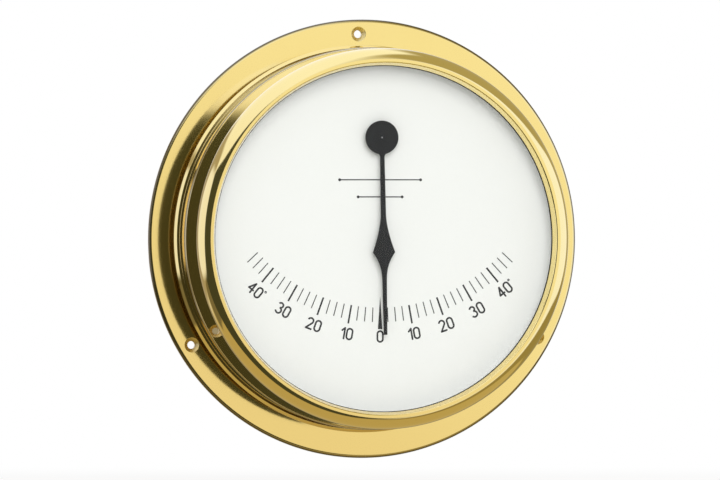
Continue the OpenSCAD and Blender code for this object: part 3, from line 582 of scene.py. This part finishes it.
# %% Let both pieces stand for their nodes
for piece, node in ((case_piece, "case_shell"), (bezel_piece, "bezel")):
    weighted = piece.modifiers.new("flat faces stay flat", "WEIGHTED_NORMAL")
    weighted.weight, weighted.keep_sharp = 100, True
    piece.data.materials.clear()
    piece.data.materials.append(finishes[slot_of[node]])
    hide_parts(node)
    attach(piece, "case")
    print(piece.name, "stands for", node)

# %% [markdown]
# ## The studio
# A mirror shows the room, so the room matters more than the lamps. The brass in the photograph tells what stood
# round it: followed back, the bright bands lead to a soft box on each side and white above, the olive ones to
# walls and to the gaps under the boxes, and the near black ones to a dark room to the left of the camera. The
# world here holds the same things as rounded patches on a sphere. Patches are simpler than lamps with walls
# round them, and each can be moved until its mirror image falls where the photograph has it. They light only
# what mirrors them. The dial gets its light from one large lamp and an even grey, and the floor is a pale plate,
# which keeps the soft shadow.

# %% The camera's direction
AZIMUTH = math.radians(-13.2)
back = Vector((math.sin(AZIMUTH), -math.cos(AZIMUTH), 0))
right = Vector((math.cos(AZIMUTH), math.sin(AZIMUTH), 0))
print("the camera lies towards", [round(v, 3) for v in back])

# %% The tent
def soft_patch(bench, across, up, middle, half, tilt, softness):
    """A rounded patch on the sky, all in degrees: 1 inside, 0 outside, with a soft edge."""
    east = across - math.radians(middle[0])
    north = up - math.radians(middle[1])
    cos, sin = math.cos(math.radians(tilt)), math.sin(math.radians(tilt))
    long_share = (east * cos + north * sin) / math.radians(half[0])
    tall_share = (north * cos - east * sin) / math.radians(half[1])
    edge = (long_share * long_share) ** 1.5 + (tall_share * tall_share) ** 1.5
    return 1 - bench.rise(edge, 1 - softness, 1 + softness)


world = bpy.data.worlds.new("tent")
scene.world = world
bench = Bench(world)
towards = bench.add("ShaderNodeTexCoord").out("Generated")
aside, depth, height = bench.split(towards)
round_angle = bench.add("ShaderNodeMath", {"operation": "ARCTAN2"}, {0: aside, 1: depth * -1})
up_angle = bench.add("ShaderNodeMath", {"operation": "ARCSINE"}, {0: height})
tent = bench.mix(bench.rise(up_angle, math.radians(-30), math.radians(-8)), (0.56, 0.48, 0.27), (1.06, 1.12, 1.35))
for name, colour, middle, half, tilt, softness in (
    ("wall at the right", (0.45, 0.40, 0.24), (86, 24), (74, 44), 0, 0.25),
    ("gap under the right box", (0.34, 0.29, 0.14), (100, -20), (90, 12), 0, 0.25),
    ("right soft box", (1.04, 1.12, 1.5), (62, 4), (48, 19), 0, 0.15),
    ("wall behind, left", (0.36, 0.32, 0.22), (-180, -17), (34, 15), 0, 0.2),
    ("wall behind, right", (0.36, 0.32, 0.20), (180, -17), (34, 15), 0, 0.2),
    ("wall at the left", (0.46, 0.42, 0.36), (-116, 8), (46, 27), 0, 0.25),
    ("gap under the left box", (0.22, 0.20, 0.14), (-92, -24), (30, 9), 4, 0.3),
    ("dark room", (0.068, 0.074, 0.052), (-38, -7), (52, 29), -11, 0.06),
    ("left soft box", (1.04, 1.12, 1.5), (-98, 6), (37, 20), 0, 0.3),
    ("card beside the camera", (1.0, 0.98, 0.90), (16, 2), (8, 8), 0, 0.1),
):
    patch = soft_patch(bench, round_angle, up_angle, middle, half, tilt, softness)
    tent = bench.mix(patch, tent, colour)
    print("hung in the tent:", name)
rays = bench.add("ShaderNodeLightPath")
seen = rays.out("Is Camera Ray") + rays.out("Is Transmission Ray")
lit = bench.mix(rays.out("Is Glossy Ray"), (0.52, 0.52, 0.51), tent)
colour = bench.mix(bench.add("ShaderNodeClamp", {}, {0: seen}), lit, (1.0, 1.0, 1.0))
bench.show(bench.add("ShaderNodeBackground", {}, {"Color": colour, "Strength": 1.0}))
print("the tent has", len(bench.tree.nodes), "nodes")

# %% The key light, above the camera
lamp_data = bpy.data.lights.new("key", "AREA")
LAMP_SIZE, LAMP_POWER = 2.0, 38.0
lamp_data.shape, lamp_data.size, lamp_data.energy = "DISK", LAMP_SIZE, LAMP_POWER
lamp = bpy.data.objects.new("key", lamp_data)
scene.collection.objects.link(lamp)
lamp.location = (-0.1, -2.3, 1.0)
lamp.rotation_euler = (-Vector(lamp.location)).to_track_quat("-Z", "Y").to_euler()
lamp.visible_glossy = False
print("the key light is", round(Vector(lamp.location).length, 2), "m away")

# %% The floor
FLOOR_R = 0.7
FLOOR_Z = -0.1005
mesh = bpy.data.meshes.new("floor")
FLOOR_SIDES = 90
turns = [math.radians(360 / FLOOR_SIDES * i) for i in range(FLOOR_SIDES)]
edge = [(FLOOR_R * math.cos(turn), FLOOR_R * math.sin(turn), FLOOR_Z) for turn in turns]
mesh.from_pydata(edge, [], [list(range(FLOOR_SIDES))])
floor = bpy.data.objects.new("floor", mesh)
scene.collection.objects.link(floor)
floor.visible_glossy = False
paint = bpy.data.materials.new("pale_floor")
mesh.materials.append(paint)
bench = Bench(paint)
place = bench.place()
x, y, z = bench.split(place)
far = bench.rise((x * x + y * y) ** 0.5, 0.15, FLOOR_R * 0.95)
rays = bench.add("ShaderNodeLightPath")
diffuse = bench.add("ShaderNodeBsdfDiffuse", {}, {"Color": (0.93, 0.92, 0.90)})
white = bench.add("ShaderNodeEmission", {}, {"Color": (1.0, 1.0, 1.0), "Strength": 1.0})
seen = bench.add("ShaderNodeClamp", {}, {0: rays.out("Is Camera Ray") + rays.out("Is Transmission Ray")})
bench.show(bench.add("ShaderNodeMixShader", {}, {0: seen * (0.88 + far * 0.12), 1: diffuse, 2: white}))
print("the floor lies at", FLOOR_Z, "m")

# %% [markdown]
# ## The camera
# The photograph was taken from straight ahead in height and a little from the left, from far away: the circles
# of the case come out almost as in a drawing. A very long lens far away gives that, and its aim is a little
# beside the flange's centre, as in the photograph.

# %% Place the camera
FRAME_WIDTH = 0.2956
camera_data = bpy.data.cameras.new("camera")
camera_data.lens, camera_data.sensor_width = 1000.0, 36.0
distance = FRAME_WIDTH * camera_data.lens / camera_data.sensor_width
camera_data.clip_start, camera_data.clip_end = 0.5, 60.0
camera = bpy.data.objects.new("camera", camera_data)
scene.collection.objects.link(camera)
AIM_FORWARD, AIM_LEFT, AIM_DOWN = 0.0015, 0.00076, 0.00053
aim = Vector((0, -AIM_FORWARD, -AIM_DOWN)) - right * AIM_LEFT
camera.location = aim + back * distance
camera.rotation_mode = "QUATERNION"
camera.rotation_quaternion = (-back).to_track_quat("-Z", "Y")
scene.camera = camera
scene.view_settings.view_transform = "Standard"
print("the camera is", round(distance, 2), "m away")
